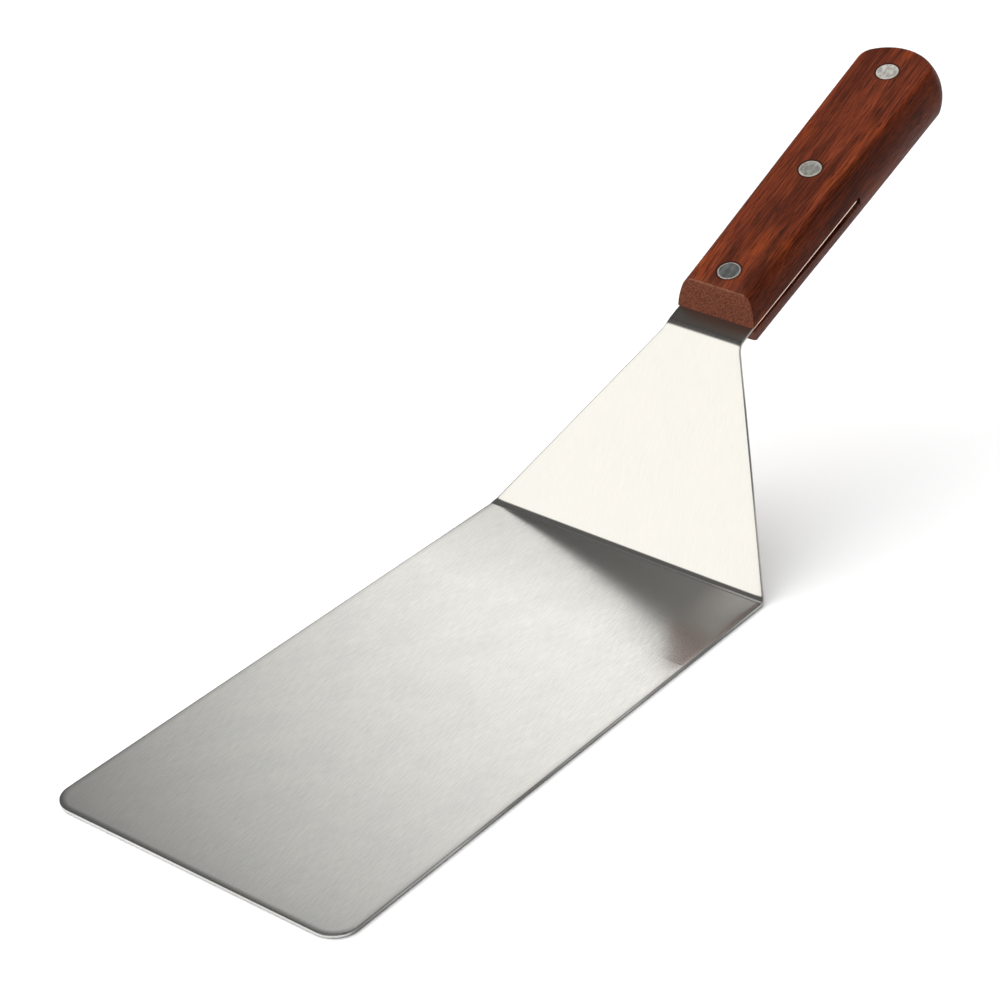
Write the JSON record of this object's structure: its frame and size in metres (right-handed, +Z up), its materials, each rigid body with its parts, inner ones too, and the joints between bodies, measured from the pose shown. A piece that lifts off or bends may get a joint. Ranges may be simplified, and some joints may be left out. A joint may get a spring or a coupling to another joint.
{
  "type": "grill spatula",
  "caption": "Wide flat steel blade bent up through a tapered neck to a tang held in the kerf of a riveted hardwood handle; rests flat on its blade.",
  "frame": {"origin": "centre of the flat blade's underside, between its front edge and the corner of the lower bend", "axes": "+X from the blade's front edge towards the handle, +Y to the left seen from the front edge looking to the handle, +Z up from the blade's underside"},
  "size_m": [0.3694, 0.1016, 0.1175],
  "materials": {
    "sheet_steel": "fine satin grain along the sheet",
    "hardwood": "oiled reddish hardwood, fine dark grain along the handle",
    "rivet_metal": "ground flush, dull"
  },
  "bodies": {
    "root": {"blade": "sheet_steel", "handle": "hardwood", "front_rivet_post": "rivet_metal", "front_rivet_tube": "rivet_metal", "middle_rivet_post": "rivet_metal", "middle_rivet_tube": "rivet_metal", "rear_rivet_post": "rivet_metal", "rear_rivet_tube": "rivet_metal"}
  },
  "joints": []
}
